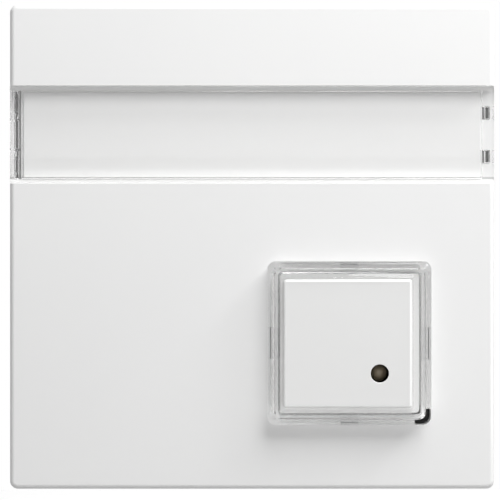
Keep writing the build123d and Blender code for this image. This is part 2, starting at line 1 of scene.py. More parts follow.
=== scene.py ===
# %% [markdown]
# A flush bell push, dressed for a studio picture.
# The measured model of the switch is loaded first and stays where it is: it fixes every size and place.
# Each step after that gives one real piece its finish, or builds a finer mesh that stands for it.
# All lengths are in metres, X runs to the right, Z up the wall, and the front of the plate faces -Y.

# %% Load the measured model
from math import radians

import bmesh
import bpy
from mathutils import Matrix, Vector


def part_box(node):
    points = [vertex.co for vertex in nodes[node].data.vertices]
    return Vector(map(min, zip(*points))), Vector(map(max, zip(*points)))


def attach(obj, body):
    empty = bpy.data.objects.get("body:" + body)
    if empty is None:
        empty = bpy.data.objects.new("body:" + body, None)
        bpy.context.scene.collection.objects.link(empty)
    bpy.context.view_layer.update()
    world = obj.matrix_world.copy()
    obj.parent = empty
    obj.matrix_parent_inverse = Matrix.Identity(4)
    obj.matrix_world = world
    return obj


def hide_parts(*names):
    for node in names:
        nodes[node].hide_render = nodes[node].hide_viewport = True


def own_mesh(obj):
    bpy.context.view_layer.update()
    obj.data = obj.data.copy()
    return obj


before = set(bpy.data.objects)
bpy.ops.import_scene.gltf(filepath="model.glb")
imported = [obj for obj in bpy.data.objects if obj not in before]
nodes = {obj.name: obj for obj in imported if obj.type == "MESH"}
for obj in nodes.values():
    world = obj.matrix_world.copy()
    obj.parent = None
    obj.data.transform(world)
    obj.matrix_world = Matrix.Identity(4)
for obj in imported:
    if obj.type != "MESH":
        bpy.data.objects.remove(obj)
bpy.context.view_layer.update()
MM = 0.001
print("pieces in the measured model:", len(nodes))

# %% [markdown]
# The places that the finer meshes need are read from the measured pieces' own boxes.
# Heights are counted out of the wall, so a height is the negative of a Y value.

# %% Read the sizes that later cells share
def height_range(name):
    """How far out of the wall a piece starts and ends."""
    low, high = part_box(name)
    return -high.y, -low.y


def middle_of(name):
    """The middle of a piece's front, at its lowest height so that only the sides differ from it."""
    low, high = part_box(name)
    return ((low.x + high.x) / 2, high.y, (low.z + high.z) / 2)


plate_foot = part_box("front_plate")[0].z
face = height_range("front_plate")[1]
crest = height_range("light_collar")[1]
print("plate face at", round(face / MM, 2), "mm, collar crest at", round(crest / MM, 2), "mm")

# %% [markdown]
# The picture is taken straight on, from about half a metre, with a long lens.
# A camera that looks along +Y with Z up is a camera turned a quarter turn about X.
# The lens follows from how wide the picture is at the plate's face, so the plate keeps its size in it.

# %% Set up the camera
CAMERA_DISTANCE = 0.45
CAMERA_ACROSS = -0.33 * MM
CAMERA_UP = -0.53 * MM
PICTURE_WIDTH = 82.235 * MM
SENSOR_WIDTH = 36.0
NEAREST_SEEN = 0.01

camera_data = bpy.data.cameras.new("portrait_lens")
camera_data.sensor_width = SENSOR_WIDTH
camera_data.lens = SENSOR_WIDTH * CAMERA_DISTANCE / PICTURE_WIDTH
camera_data.clip_start = NEAREST_SEEN
camera = bpy.data.objects.new("camera", camera_data)
camera.location = (CAMERA_ACROSS, -(face + CAMERA_DISTANCE), CAMERA_UP)
camera.rotation_euler = (radians(90), 0, 0)
bpy.context.scene.collection.objects.link(camera)
bpy.context.scene.camera = camera
print("lens", round(camera_data.lens, 1), "mm")

# %% [markdown]
# Light, plastic and metal are all drawn by trees of nodes. A node takes plain values or the results
# of other nodes, and hands its own result on. Linked one by one, a tree takes many lines, so the
# nodes that come back most often get a short helper here. Each helper takes values and results
# alike and gives back the node's result, so that a tree reads almost like a sum.

# %% Write the helpers for node trees
def feed(tree, socket, value):
    """Gives a socket a plain value, or links another node's result to it."""
    if isinstance(value, bpy.types.NodeSocket):
        tree.links.new(value, socket)
    else:
        socket.default_value = value


def add_math(tree, operation, *values):
    """The result of a sum on numbers."""
    node = tree.nodes.new("ShaderNodeMath")
    node.operation = operation
    for socket, value in zip(node.inputs, values):
        feed(tree, socket, value)
    return node.outputs[0]


def add_vector_math(tree, operation, first, second):
    """The result of a sum on two vectors: a number for a dot product, and a vector otherwise."""
    node = tree.nodes.new("ShaderNodeVectorMath")
    node.operation = operation
    feed(tree, node.inputs[0], first)
    feed(tree, node.inputs[1], second)
    return node.outputs["Value" if operation == "DOT_PRODUCT" else "Vector"]


def blend(tree, factor, first, second, kind="RGBA"):
    """A mix of two colours, or of two numbers where the kind is FLOAT."""
    node = tree.nodes.new("ShaderNodeMix")
    node.data_type = kind
    feed(tree, node.inputs["Factor"], factor)
    feed(tree, node.inputs["A"], first)
    feed(tree, node.inputs["B"], second)
    return node.outputs["Result"]


def map_range(tree, value, low, high, start=0.0, end=1.0, way="LINEAR"):
    """Maps a value that runs from start to end onto low to high, and holds it there beyond them."""
    node = tree.nodes.new("ShaderNodeMapRange")
    node.interpolation_type = way
    feed(tree, node.inputs["Value"], value)
    feed(tree, node.inputs["From Min"], start)
    feed(tree, node.inputs["From Max"], end)
    feed(tree, node.inputs["To Min"], low)
    feed(tree, node.inputs["To Max"], high)
    return node.outputs["Result"]


def own_place(tree):
    """Each point's place in the piece's own coordinates."""
    return tree.nodes.new("ShaderNodeTexCoord").outputs["Object"]


def part_of(tree, vector, axis):
    """One of a vector's three numbers."""
    split = tree.nodes.new("ShaderNodeSeparateXYZ")
    tree.links.new(vector, split.inputs["Vector"])
    return split.outputs[axis]


def plain_material(name):
    """A node material and its main shader."""
    material = bpy.data.materials.new(name)
    material.use_nodes = True
    return material, material.node_tree.nodes["Principled BSDF"]


def seen_by_eye(tree):
    """1 for rays that the eye follows, also by gloss or through glass, and 0 for rays of light alone."""
    path = tree.nodes.new("ShaderNodeLightPath").outputs
    direct = add_math(tree, "MAXIMUM", path["Is Camera Ray"], path["Is Glossy Ray"])
    return add_math(tree, "MAXIMUM", direct, path["Is Transmission Ray"])


print("helpers ready")

# %% [markdown]
# White plastic on white is drawn by light alone. The room is a soft white sky, a little brighter on
# the lamps' side, as a room with one large window is. It fills the shadow of the raised collar and
# lets it fade out slowly on the far side.
# Rays that look straight at the sky, or see it in glass or gloss, find plain white.

# %% Fill the room with light
ROOM_FAR = 0.255
ROOM_NEAR = 0.355
ROOM_SIDE = Vector((0.66, 0, 0.75))
WHITE = (1, 1, 1, 1)

scene = bpy.context.scene
scene.view_settings.view_transform = "Standard"


def make_room():
    """A world that is plain white to the eye and gives dimmer light, from far to near the lamps."""
    room = bpy.data.worlds.new("white_room")
    room.use_nodes = True
    tree = room.node_tree
    tree.nodes.clear()
    direction = tree.nodes.new("ShaderNodeTexCoord").outputs["Generated"]
    side = add_vector_math(tree, "DOT_PRODUCT", direction, ROOM_SIDE)
    level = map_range(tree, side, ROOM_FAR, ROOM_NEAR, start=-1.0)
    glow = tree.nodes.new("ShaderNodeBackground")
    glow.inputs["Color"].default_value = WHITE
    feed(tree, glow.inputs["Strength"], map_range(tree, seen_by_eye(tree), level, 1.0))
    end = tree.nodes.new("ShaderNodeOutputWorld")
    tree.links.new(glow.outputs["Background"], end.inputs["Surface"])
    return room


scene.world = make_room()
print("room light runs from", ROOM_FAR, "to", ROOM_NEAR)

# %% [markdown]
# One large soft box hangs above and to the right. It is near, so the plate is a little brighter
# towards it and the collar drops a soft shadow. A smaller lamp further out on the same side grazes
# the plate, and brings out the edges that face it. Each lamp is turned to look at the part's middle.

# %% Hang the two lamps
# For each lamp: its name, its width, its power in watts and its place.
LAMPS = [
    ("soft_box", 0.26, 1.54, Vector((0.12, -0.21, 0.3))),
    ("low_strip", 0.1, 1.25, Vector((0.4, -0.13, 0.42))),
]
for name, size, watts, place in LAMPS:
    lamp_data = bpy.data.lights.new(name, "AREA")
    lamp_data.size = size
    lamp_data.energy = watts
    lamp = bpy.data.objects.new(name, lamp_data)
    lamp.location = place
    lamp.rotation_euler = (-place).to_track_quat("-Z", "Y").to_euler()
    lamp.visible_camera = False
    scene.collection.objects.link(lamp)
    print(name, "at", [round(v, 2) for v in place], "m")

# %% [markdown]
# A switch hangs on a wall, so its studio floor lies a little below it, and only its far end comes
# into the foot of the straight-on picture. The floor is matt and nearly white. For the camera it
# glows a little as well, so that it runs into the white room, while the part's shadow on it stays.
# For rays that only carry light it is darker, or it would light the plate too much from below.

# %% Lay the floor
FLOOR_DROP = 0.016
FLOOR_SIDE = 0.7
FLOOR_BACK = 0.17
FLOOR_GLOW = 0.3
FLOOR_COLOUR = (0.85, 0.85, 0.85, 1)
FLOOR_BOUNCE = (0.46, 0.46, 0.46, 1)
FLOOR_ROUGHNESS = 0.9
FLOOR_GLOSS = 0.1


def make_floor_paint():
    """Matt white paint that glows a little for the camera."""
    material, shader = plain_material("floor_paint")
    tree = material.node_tree
    feed(tree, shader.inputs["Base Color"], blend(tree, seen_by_eye(tree), FLOOR_BOUNCE, FLOOR_COLOUR))
    shader.inputs["Roughness"].default_value = FLOOR_ROUGHNESS
    shader.inputs["Specular IOR Level"].default_value = FLOOR_GLOSS
    shader.inputs["Emission Color"].default_value = WHITE
    path = tree.nodes.new("ShaderNodeLightPath")
    glow = add_math(tree, "MULTIPLY", path.outputs["Is Camera Ray"], FLOOR_GLOW)
    tree.links.new(glow, shader.inputs["Emission Strength"])
    return material


floor_level = plate_foot - FLOOR_DROP
corners = [
    (-FLOOR_SIDE, -FLOOR_SIDE, floor_level),
    (FLOOR_SIDE, -FLOOR_SIDE, floor_level),
    (FLOOR_SIDE, FLOOR_BACK, floor_level),
    (-FLOOR_SIDE, FLOOR_BACK, floor_level),
]
floor_mesh = bpy.data.meshes.new("studio_floor")
floor_mesh.from_pydata(corners, [], [(0, 1, 2, 3)])
floor_mesh.materials.append(make_floor_paint())
floor = bpy.data.objects.new("studio_floor", floor_mesh)
scene.collection.objects.link(floor)
print("floor lies", round((plate_foot - floor_level) / MM), "mm below the plate")

# %% [markdown]
# Moulded plastic is never one flat colour. The tool leaves a very fine spark-eroded grain, and the
# melt leaves a faint drift in tone. Both are built once as a shader group with sizes as inputs, and
# every moulded material places the group with its own values. An image could show the same, but it
# has a fixed fineness, while noise stays sharp from any distance.

# %% Build the moulded skin as a shader group
DRIFT_SCALE = 40.0
DRIFT_DETAIL = 3.0
GRAIN_SCALE = 9000.0
GRAIN_DETAIL = 2.0
SURFACE = [("Colour", "NodeSocketColor"), ("Roughness", "NodeSocketFloat"), ("Height", "NodeSocketFloat")]


def new_group(kind, name, inputs, outputs):
    """An empty node group with named sockets, and its two end nodes."""
    group = bpy.data.node_groups.new(name, kind)
    for label, socket_kind, value in inputs:
        socket = group.interface.new_socket(label, in_out="INPUT", socket_type=socket_kind)
        if value is not None:
            socket.default_value = value
    for label, socket_kind in outputs:
        group.interface.new_socket(label, in_out="OUTPUT", socket_type=socket_kind)
    return group, group.nodes.new("NodeGroupInput"), group.nodes.new("NodeGroupOutput")


def add_noise(tree, coordinate, scale, detail):
    """The grey value of a noise texture."""
    noise = tree.nodes.new("ShaderNodeTexNoise")
    noise.inputs["Detail"].default_value = detail
    tree.links.new(coordinate, noise.inputs["Vector"])
    feed(tree, noise.inputs["Scale"], scale)
    return noise.outputs["Fac"]


def end_surface(group, end, colour, roughness, height):
    """Hands a surface's colour, roughness and height out of its group."""
    group.links.new(colour, end.inputs["Colour"])
    group.links.new(roughness, end.inputs["Roughness"])
    group.links.new(height, end.inputs["Height"])


def make_moulded_skin():
    """Colour, roughness and height of a moulded surface."""
    inputs = [
        ("Colour", "NodeSocketColor", (0.8, 0.8, 0.8, 1)),
        ("Shade", "NodeSocketColor", (0.7, 0.7, 0.7, 1)),
        ("Drift Scale", "NodeSocketFloat", DRIFT_SCALE),
        ("Grain Scale", "NodeSocketFloat", GRAIN_SCALE),
        ("Roughness Low", "NodeSocketFloat", 0.3),
        ("Roughness High", "NodeSocketFloat", 0.4),
    ]
    group, start, end = new_group("ShaderNodeTree", "moulded_skin", inputs, SURFACE)
    given = start.outputs
    place = own_place(group)
    drift = add_noise(group, place, given["Drift Scale"], DRIFT_DETAIL)
    grain = add_noise(group, place, given["Grain Scale"], GRAIN_DETAIL)
    colour = blend(group, drift, given["Colour"], given["Shade"])
    roughness = map_range(group, drift, given["Roughness Low"], given["Roughness High"])
    end_surface(group, end, colour, roughness, grain)
    return group


moulded_skin = make_moulded_skin()
print("group", moulded_skin.name, "has", len(moulded_skin.nodes), "nodes")

# %% [markdown]
# Every moulded piece is the same shader with other values: two close tones, a roughness range and a
# grain height. The two tones differ by a hair, which is enough to stop the surface looking painted.
# The grain is far too fine to model, so it only bends the light: a bump raises no vertex.

# %% Write the moulded plastics
GRAIN_DEPTH = 0.004 * MM


def add_bump(tree, shader, height, strength, depth):
    """Bends the light of a surface as if it rose by a height."""
    bump = tree.nodes.new("ShaderNodeBump")
    bump.inputs["Strength"].default_value = strength
    bump.inputs["Distance"].default_value = depth
    tree.links.new(height, bump.inputs["Height"])
    tree.links.new(bump.outputs["Normal"], shader.inputs["Normal"])


def lay_surface(material, shader, group, values, grain):
    """Places a surface group in a material with its own values."""
    tree = material.node_tree
    skin = tree.nodes.new("ShaderNodeGroup")
    skin.node_tree = group
    for label, value in values.items():
        skin.inputs[label].default_value = value
    add_bump(tree, shader, skin.outputs["Height"], grain, GRAIN_DEPTH)
    tree.links.new(skin.outputs["Colour"], shader.inputs["Base Color"])
    tree.links.new(skin.outputs["Roughness"], shader.inputs["Roughness"])


def moulded_plastic(name, colour, shade, rough, grain_scale=GRAIN_SCALE, grain=1.0):
    """A plastic with the moulded skin."""
    material, shader = plain_material(name)
    values = {
        "Colour": (*colour, 1),
        "Shade": (*shade, 1),
        "Grain Scale": grain_scale,
        "Roughness Low": rough[0],
        "Roughness High": rough[1],
    }
    lay_surface(material, shader, moulded_skin, values, grain)
    return material


SATIN = {"rough": (0.3, 0.38), "grain": 0.5}
plate_white = moulded_plastic("plate_white", (0.82, 0.82, 0.815), (0.8, 0.8, 0.8), **SATIN)
# The well's lighter white is painted light, for the light that the clear collar pipes down into it.
well_painted_light = moulded_plastic("well_painted_light", (0.95, 0.95, 0.945), (0.93, 0.93, 0.93), **SATIN)
trough_white = moulded_plastic("trough_white", (0.82, 0.82, 0.815), (0.8, 0.8, 0.8), **SATIN)
key_white = moulded_plastic("key_white", (0.77, 0.77, 0.765), (0.755, 0.755, 0.75), (0.33, 0.4), grain=0.5)
# The key's rim white is lighter than its face: a painted highlight.
key_rim_painted_highlight = moulded_plastic("key_rim_painted_highlight", (0.93, 0.93, 0.925), (0.9, 0.9, 0.9), **SATIN)
card_white = moulded_plastic("card_white", (0.79, 0.79, 0.785), (0.77, 0.77, 0.765), (0.75, 0.9), 4000.0, 0.8)
guide_black = moulded_plastic("guide_black", (0.02, 0.02, 0.02), (0.03, 0.03, 0.03), (0.4, 0.55))
switch_black = moulded_plastic("switch_black", (0.03, 0.03, 0.032), (0.045, 0.045, 0.045), (0.3, 0.45))
carrier_grey = moulded_plastic("carrier_grey", (0.35, 0.36, 0.37), (0.31, 0.32, 0.33), (0.4, 0.55))
terminal_grey = moulded_plastic("terminal_grey", (0.4, 0.42, 0.43), (0.35, 0.37, 0.38), (0.35, 0.5))
frosted_leg = moulded_plastic("frosted_leg", (0.9, 0.9, 0.9), (0.85, 0.85, 0.85), (0.5, 0.7), 5000.0)
lamp_epoxy = moulded_plastic("lamp_epoxy", (0.62, 0.49, 0.34), (0.5, 0.44, 0.32), (0.1, 0.2), 2000.0, 0.2)
print("moulded plastics ready")

# %% [markdown]
# Under its clear cover the card is painted paler along its upper and lower margins, and the trough
# gets a painted pale strip above the card, a thin painted grey line of shade near its foot and a
# painted pale rim below that. This is painted light and shade, for the light that the clear cover
# carries to those places and the shade at the cover's foot. Those are soft bands across the strip,
# so each is a blend by height in the material, and no mesh is cut.

# %% Paint light and shade on the card and the trough by height
PAINTED_LIGHT_CARD = (0.88, 0.88, 0.875, 1)


def paint_light_and_shade_band(material, tone, start, end):
    """Paints light or shade by height: blends a material towards another tone between two levels, and keeps
    it beyond.
    """
    tree = material.node_tree
    base = tree.nodes["Principled BSDF"].inputs["Base Color"]
    level = part_of(tree, own_place(tree), "Z")
    share = map_range(tree, level, 0.0, 1.0, start, end, "SMOOTHSTEP")
    tree.links.new(blend(tree, share, base.links[0].from_socket, tone), base)


# For each band of painted light or shade: the material, its painted tone, and the levels where that starts
# and is reached.
card_low, card_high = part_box("label_card")
trough_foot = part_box("label_cover")[0].z
PAINTED_LIGHT_AND_SHADE_BANDS = [
    # Painted light on the card's two margins.
    (card_white, PAINTED_LIGHT_CARD, card_low.z + 1.7 * MM, card_low.z + 0.2 * MM),
    (card_white, PAINTED_LIGHT_CARD, card_high.z - 4.2 * MM, card_high.z - 1.5 * MM),
    # Painted light above the card, painted shade in the grey line near the foot, painted light in the pale
    # rim below it.
    (trough_white, (0.97, 0.97, 0.965, 1), card_high.z, card_high.z + 0.3 * MM),
    (trough_white, (0.5, 0.5, 0.5, 1), trough_foot + 1.2 * MM, trough_foot + 1.05 * MM),
    (trough_white, (0.9, 0.9, 0.895, 1), trough_foot + 0.8 * MM, trough_foot + 0.65 * MM),
]
for material, tone, start, end in PAINTED_LIGHT_AND_SHADE_BANDS:
    paint_light_and_shade_band(material, tone, start, end)
print(len(PAINTED_LIGHT_AND_SHADE_BANDS), "bands toned")

# %% [markdown]
# The strip's cover and the collar are clear plastic, which bends light. A lamp's rays can't be
# followed back through a bending surface, so behind it everything would go dark.
# The usual cure is to let shadow rays and soft bounced rays pass straight through, as through a
# window, while the camera still sees real glass with its bent edges and its gloss.
# A real collar also gathers light: its outer walls keep lamp light back, which gives the shadow,
# and throw soft light on the plate, which gives the pale halo. So the window's share of light
# depends on which way a wall faces, and that is told by its normal.

# %% Tell how much light each clear wall lets by
def grey(value):
    """A grey of a given brightness."""
    return (value, value, value, 1)


def own_normal(tree):
    """Which way a wall really faces, with the turned normal of a wall seen from inside put right."""
    seen_normal = tree.nodes.new("ShaderNodeTexCoord").outputs["Normal"]
    inside = tree.nodes.new("ShaderNodeNewGeometry").outputs["Backfacing"]
    turned = tree.nodes.new("ShaderNodeVectorMath")
    turned.operation = "SCALE"
    tree.links.new(seen_normal, turned.inputs[0])
    tree.links.new(map_range(tree, inside, 1.0, -1.0), turned.inputs["Scale"])
    return turned.outputs["Vector"]


def light_let_by(tree, centre, tint, light):
    """The window's colour for lamp light, and for soft light its gain, by which way each wall faces."""
    normal = own_normal(tree)
    across = part_of(tree, normal, "Y")
    flatness = add_math(tree, "ABSOLUTE", across)
    is_base = add_math(tree, "GREATER_THAN", across, 0.0)
    from_centre = add_vector_math(tree, "SUBTRACT", own_place(tree), centre)
    outward = add_vector_math(tree, "DOT_PRODUCT", from_centre, normal)
    is_outer = add_math(tree, "GREATER_THAN", outward, 0.0)
    walls = blend(tree, is_outer, grey(light["inner"]), grey(light["outer"]))
    flats = blend(tree, is_base, grey(light["crest"]), (*tint, 1))
    dimmed = blend(tree, flatness, walls, flats)
    crest_extra = light["crest_gain"] - light["wall_gain"]
    outer_gain = add_math(tree, "MULTIPLY_ADD", flatness, crest_extra, light["wall_gain"])
    gain = blend(tree, is_outer, 1.0, outer_gain, kind="FLOAT")
    is_soft = tree.nodes.new("ShaderNodeLightPath").outputs["Is Diffuse Ray"]
    return blend(tree, is_soft, dimmed, gain)


COVER_LIGHT = {"inner": 0.95, "outer": 0.95, "crest": 0.98, "wall_gain": 0.98, "crest_gain": 1.0}
COLLAR_LIGHT = {"inner": 0.95, "outer": 0.04, "crest": 0.62, "wall_gain": 1.32, "crest_gain": 1.4}
print("lamp light through the collar's outer walls:", COLLAR_LIGHT["outer"])

# %% [markdown]
# To the eye both pieces are glass with the bend of acrylic. Where a wall is seen at a slant its tint
# is painted darker, a painted shade that stands for the dark reflections that clear edges show, and a
# slow noise varies the polish so that long edges don't gleam like cut crystal.

# %% Write the clear plastics
CLEAR_IOR = 1.49
EDGE_BLEND = 0.35
HAZE_SCALE = 300.0
HAZE_DETAIL = 2.0


def clear_plastic(name, tint, slant_shade_tint, roughness, centre, light):
    """Glass for the eye, and a window for lamp light and soft light."""
    material, shader = plain_material(name)
    tree = material.node_tree
    slant = tree.nodes.new("ShaderNodeLayerWeight")
    slant.inputs["Blend"].default_value = EDGE_BLEND
    # Painted shade: the tint darkens where a wall is seen at a slant.
    colour = blend(tree, slant.outputs["Facing"], (*tint, 1), (*slant_shade_tint, 1))
    haze = add_noise(tree, own_place(tree), HAZE_SCALE, HAZE_DETAIL)
    feed(tree, shader.inputs["Base Color"], colour)
    feed(tree, shader.inputs["Roughness"], map_range(tree, haze, roughness[0], roughness[1]))
    feed(tree, shader.inputs["Transmission Weight"], 1.0)
    feed(tree, shader.inputs["IOR"], CLEAR_IOR)
    window = tree.nodes.new("ShaderNodeBsdfTransparent")
    feed(tree, window.inputs["Color"], light_let_by(tree, centre, tint, light))
    path = tree.nodes.new("ShaderNodeLightPath").outputs
    either = tree.nodes.new("ShaderNodeMixShader")
    feed(tree, either.inputs["Fac"], add_math(tree, "MAXIMUM", path["Is Shadow Ray"], path["Is Diffuse Ray"]))
    tree.links.new(shader.outputs["BSDF"], either.inputs[1])
    tree.links.new(window.outputs["BSDF"], either.inputs[2])
    tree.links.new(either.outputs["Shader"], tree.nodes["Material Output"].inputs["Surface"])
    return material


COVER_CENTRE = middle_of("label_cover")
COLLAR_CENTRE = middle_of("light_collar")
clear_cover = clear_plastic(
    "clear_cover", (0.98, 0.98, 0.98), (0.6, 0.6, 0.61), (0.0, 0.03), COVER_CENTRE, COVER_LIGHT
)
clear_collar = clear_plastic(
    "clear_collar", (0.99, 0.99, 0.99), (0.97, 0.97, 0.97), (0.0, 0.04), COLLAR_CENTRE, COLLAR_LIGHT
)
print("clear plastics ready")

# %% [markdown]
# Bright metals differ in how they were worked: the ring is zinc-plated sheet with a faint spangle,
# screws and wires are drawn, contacts are plain brass. One group gives all of them a fine noise in
# tone, polish and height. It can be stretched, as on the springs, to show which way the metal was drawn.

# %% Build the worked metal group and write the metals
METAL_GRAIN = 0.3
LINE_SCALE = 2000.0
LINE_DETAIL = 4.0
ALL_WAYS = (1, 1, 1)
FINER_ALONG_Y = (1, 6, 1)


def make_worked_metal():
    """Colour, roughness and height of a metal with a fine noise that can be stretched."""
    inputs = [
        ("Colour", "NodeSocketColor", (0.6, 0.6, 0.6, 1)),
        ("Dull Colour", "NodeSocketColor", (0.5, 0.5, 0.5, 1)),
        ("Stretch", "NodeSocketVector", ALL_WAYS),
        ("Line Scale", "NodeSocketFloat", LINE_SCALE),
        ("Roughness Low", "NodeSocketFloat", 0.2),
        ("Roughness High", "NodeSocketFloat", 0.4),
    ]
    group, start, end = new_group("ShaderNodeTree", "worked_metal", inputs, SURFACE)
    given = start.outputs
    stretched = add_vector_math(group, "MULTIPLY", own_place(group), given["Stretch"])
    lines = add_noise(group, stretched, given["Line Scale"], LINE_DETAIL)
    colour = blend(group, lines, given["Colour"], given["Dull Colour"])
    roughness = map_range(group, lines, given["Roughness Low"], given["Roughness High"])
    end_surface(group, end, colour, roughness, lines)
    return group


def bright_metal(name, colour, dull, rough, stretch=ALL_WAYS, line_scale=LINE_SCALE):
    """A metal with the worked metal group."""
    material, shader = plain_material(name)
    shader.inputs["Metallic"].default_value = 1.0
    values = {
        "Colour": (*colour, 1),
        "Dull Colour": (*dull, 1),
        "Stretch": stretch,
        "Line Scale": line_scale,
        "Roughness Low": rough[0],
        "Roughness High": rough[1],
    }
    lay_surface(material, shader, worked_metal, values, METAL_GRAIN)
    return material


worked_metal = make_worked_metal()
ring_steel = bright_metal("ring_steel", (0.66, 0.67, 0.68), (0.5, 0.51, 0.53), (0.25, 0.5), line_scale=350.0)
screw_steel = bright_metal("screw_steel", (0.68, 0.69, 0.7), (0.5, 0.5, 0.52), (0.2, 0.4))
spring_steel = bright_metal("spring_steel", (0.6, 0.6, 0.6), (0.4, 0.4, 0.4), (0.2, 0.35), FINER_ALONG_Y)
contact_brass = bright_metal("contact_brass", (0.8, 0.6, 0.28), (0.6, 0.42, 0.2), (0.2, 0.4))
tinned_wire = bright_metal("tinned_wire", (0.78, 0.78, 0.78), (0.6, 0.6, 0.6), (0.25, 0.45))
print("metals ready")

# %% [markdown]
# The circuit board wears a green mask, and the copper tracks below it show as slightly raised,
# lighter bands. Drawing each track would take hundreds of small boxes behind the plate, so a wave
# texture with steep flanks stands in for them, and the same wave raises them.

# %% Write the board's mask
TRACK_SCALE = 124.0
TRACK_FLANK = (0.45, 0.6)
TRACK_RISE = 0.03 * MM
TRACK_BUMP = 0.5
MASK_ROUGHNESS = 0.3


def board_mask(name):
    """Green solder mask over tracks that run up the board."""
    material, shader = plain_material(name)
    tree = material.node_tree
    wave = tree.nodes.new("ShaderNodeTexWave")
    wave.inputs["Scale"].default_value = TRACK_SCALE
    tree.links.new(own_place(tree), wave.inputs["Vector"])
    tracks = map_range(tree, wave.outputs["Fac"], 0.0, 1.0, *TRACK_FLANK)
    feed(tree, shader.inputs["Base Color"], blend(tree, tracks, (0.02, 0.11, 0.05, 1), (0.03, 0.2, 0.09, 1)))
    add_bump(tree, shader, tracks, TRACK_BUMP, TRACK_RISE)
    shader.inputs["Roughness"].default_value = MASK_ROUGHNESS
    return material


board_green = board_mask("board_green")
print("board mask ready")

# %% [markdown]
# The lamp's resistor carries plain colour rings and the diode one pale ring at its cathode end.
# The rings are paint on lacquer, with no thickness to model, so the material itself compares each
# point's place along the body with the place of each ring.

# %% Write the banded bodies
LACQUER_ROUGHNESS = 0.35


def banded_body(name, node, body, rings):
    """A lacquered body that lies along X, with rings at given distances from its middle."""
    material, shader = plain_material(name)
    tree = material.node_tree
    along = part_of(tree, own_place(tree), "X")
    middle = middle_of(node)[0]
    colour = (*body, 1)
    for offset, width, paint in rings:
        on_ring = add_math(tree, "COMPARE", along, middle + offset * MM, width * MM / 2)
        colour = blend(tree, on_ring, colour, (*paint, 1))
    tree.links.new(colour, shader.inputs["Base Color"])
    shader.inputs["Roughness"].default_value = LACQUER_ROUGHNESS
    return material


# For each ring: its distance from the middle and its width in millimetres, and its colour.
RESISTOR_RINGS = [
    (-2.4, 0.5, (0.45, 0.2, 0.05)),
    (-1.2, 0.4, (0.02, 0.02, 0.02)),
    (0.0, 0.4, (0.5, 0.05, 0.03)),
    (2.3, 0.5, (0.55, 0.4, 0.12)),
]
DIODE_RINGS = [(2.3, 0.7, (0.6, 0.6, 0.6))]
resistor_body = banded_body("resistor_body", "lamp_resistor", (0.66, 0.55, 0.38), RESISTOR_RINGS)
diode_body = banded_body("diode_body", "lamp_diode", (0.03, 0.03, 0.03), DIODE_RINGS)
print("banded bodies ready")

# %% [markdown]
# A sharp edge in a mesh has no width, so it can't catch light as a moulded edge does.
# For the pieces in view, a copy of the measured mesh is merged into real faces, its corners are
# marked, and a Bevel modifier rounds just those by a tenth or so of a millimetre.

# %% Round the edges of a measured piece
MERGE = 0.0005 * MM
FLAT = radians(0.6)
CORNER = radians(38)


def cut_off(work, height, keep_front):
    """Cuts a mesh across at a height, keeps one part and closes it."""
    cut = bmesh.ops.bisect_plane(
        work,
        geom=list(work.verts) + list(work.edges) + list(work.faces),
        plane_co=(0, -height, 0),
        plane_no=(0, -1, 0),
        clear_outer=not keep_front,
        clear_inner=keep_front,
    )
    rim = [item for item in cut["geom_cut"] if isinstance(item, bmesh.types.BMEdge) and item.is_valid]
    bmesh.ops.holes_fill(work, edges=rim)


def bake_modifiers(piece):
    """Turns a piece and its modifiers into one plain mesh."""
    graph = bpy.context.evaluated_depsgraph_get()
    made = bpy.data.meshes.new_from_object(piece.evaluated_get(graph))
    piece.modifiers.clear()
    made.name = piece.name
    piece.data = made


def shade_smooth(piece):
    """Shades a piece smoothly everywhere but across its sharp corners."""
    mesh = piece.data
    mesh.polygons.foreach_set("use_smooth", [True] * len(mesh.polygons))
    mesh.set_sharp_from_angle(angle=CORNER)


def rounded_copy(name, node, radius, chosen=None, steps=3, cut=None, keep_front=True):
    """A finer stand-in for a measured piece, cut at a height if asked, with its chosen corners rounded."""
    work = bmesh.new()
    work.from_mesh(nodes[node].data)
    bmesh.ops.remove_doubles(work, verts=work.verts, dist=MERGE)
    bmesh.ops.dissolve_limit(work, angle_limit=FLAT, verts=work.verts, edges=work.edges)
    if cut is not None:
        cut_off(work, cut, keep_front)
    weight = work.edges.layers.float.new("bevel_weight_edge")
    marked = 0
    for edge in work.edges:
        if len(edge.link_faces) != 2 or edge.calc_face_angle() < CORNER:
            continue
        if chosen is None or chosen(edge):
            edge[weight] = 1.0
            marked += 1
    mesh = bpy.data.meshes.new(name)
    work.to_mesh(mesh)
    work.free()
    piece = bpy.data.objects.new(name, mesh)
    scene.collection.objects.link(piece)
    bevel = piece.modifiers.new("moulded_edge", "BEVEL")
    bevel.limit_method = "WEIGHT"
    bevel.width = radius
    bevel.segments = steps
    bake_modifiers(piece)
    shade_smooth(piece)
    print(name, "has", marked, "rounded corners and", len(piece.data.polygons), "faces")
    return piece


def dress(piece, material, body, slot, *stands_for):
    """Gives a finished piece its material and its body, and hides the nodes it stands for. Its slot is not
    used.
    """
    piece.data.materials.clear()
    piece.data.materials.append(material)
    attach(piece, body)
    if stands_for:
        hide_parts(*stands_for)


def repaint(piece, material, wanted):
    """Gives another material to the faces of a piece whose middle passes a test."""
    piece.data.materials.append(material)
    index = len(piece.data.materials) - 1
    for polygon in piece.data.polygons:
        if wanted(polygon.center):
            polygon.material_index = index


# %% [markdown]
# The front plate is one moulding. Its outer rim is already round in the measured model, so only
# the mouths of the strip's trough and of the collar's well are rounded here.
# On a smooth mesh a rounded mouth bends the shading of the flat face beside it, and a faint fan of
# light spreads over the plate. Normals weighted by face area let the large face rule instead.
# The well under the collar gets a lighter white, painted light for the light that the clear collar pipes
# down into it. The trough gets a white of its own that carries bands of painted light and shade.

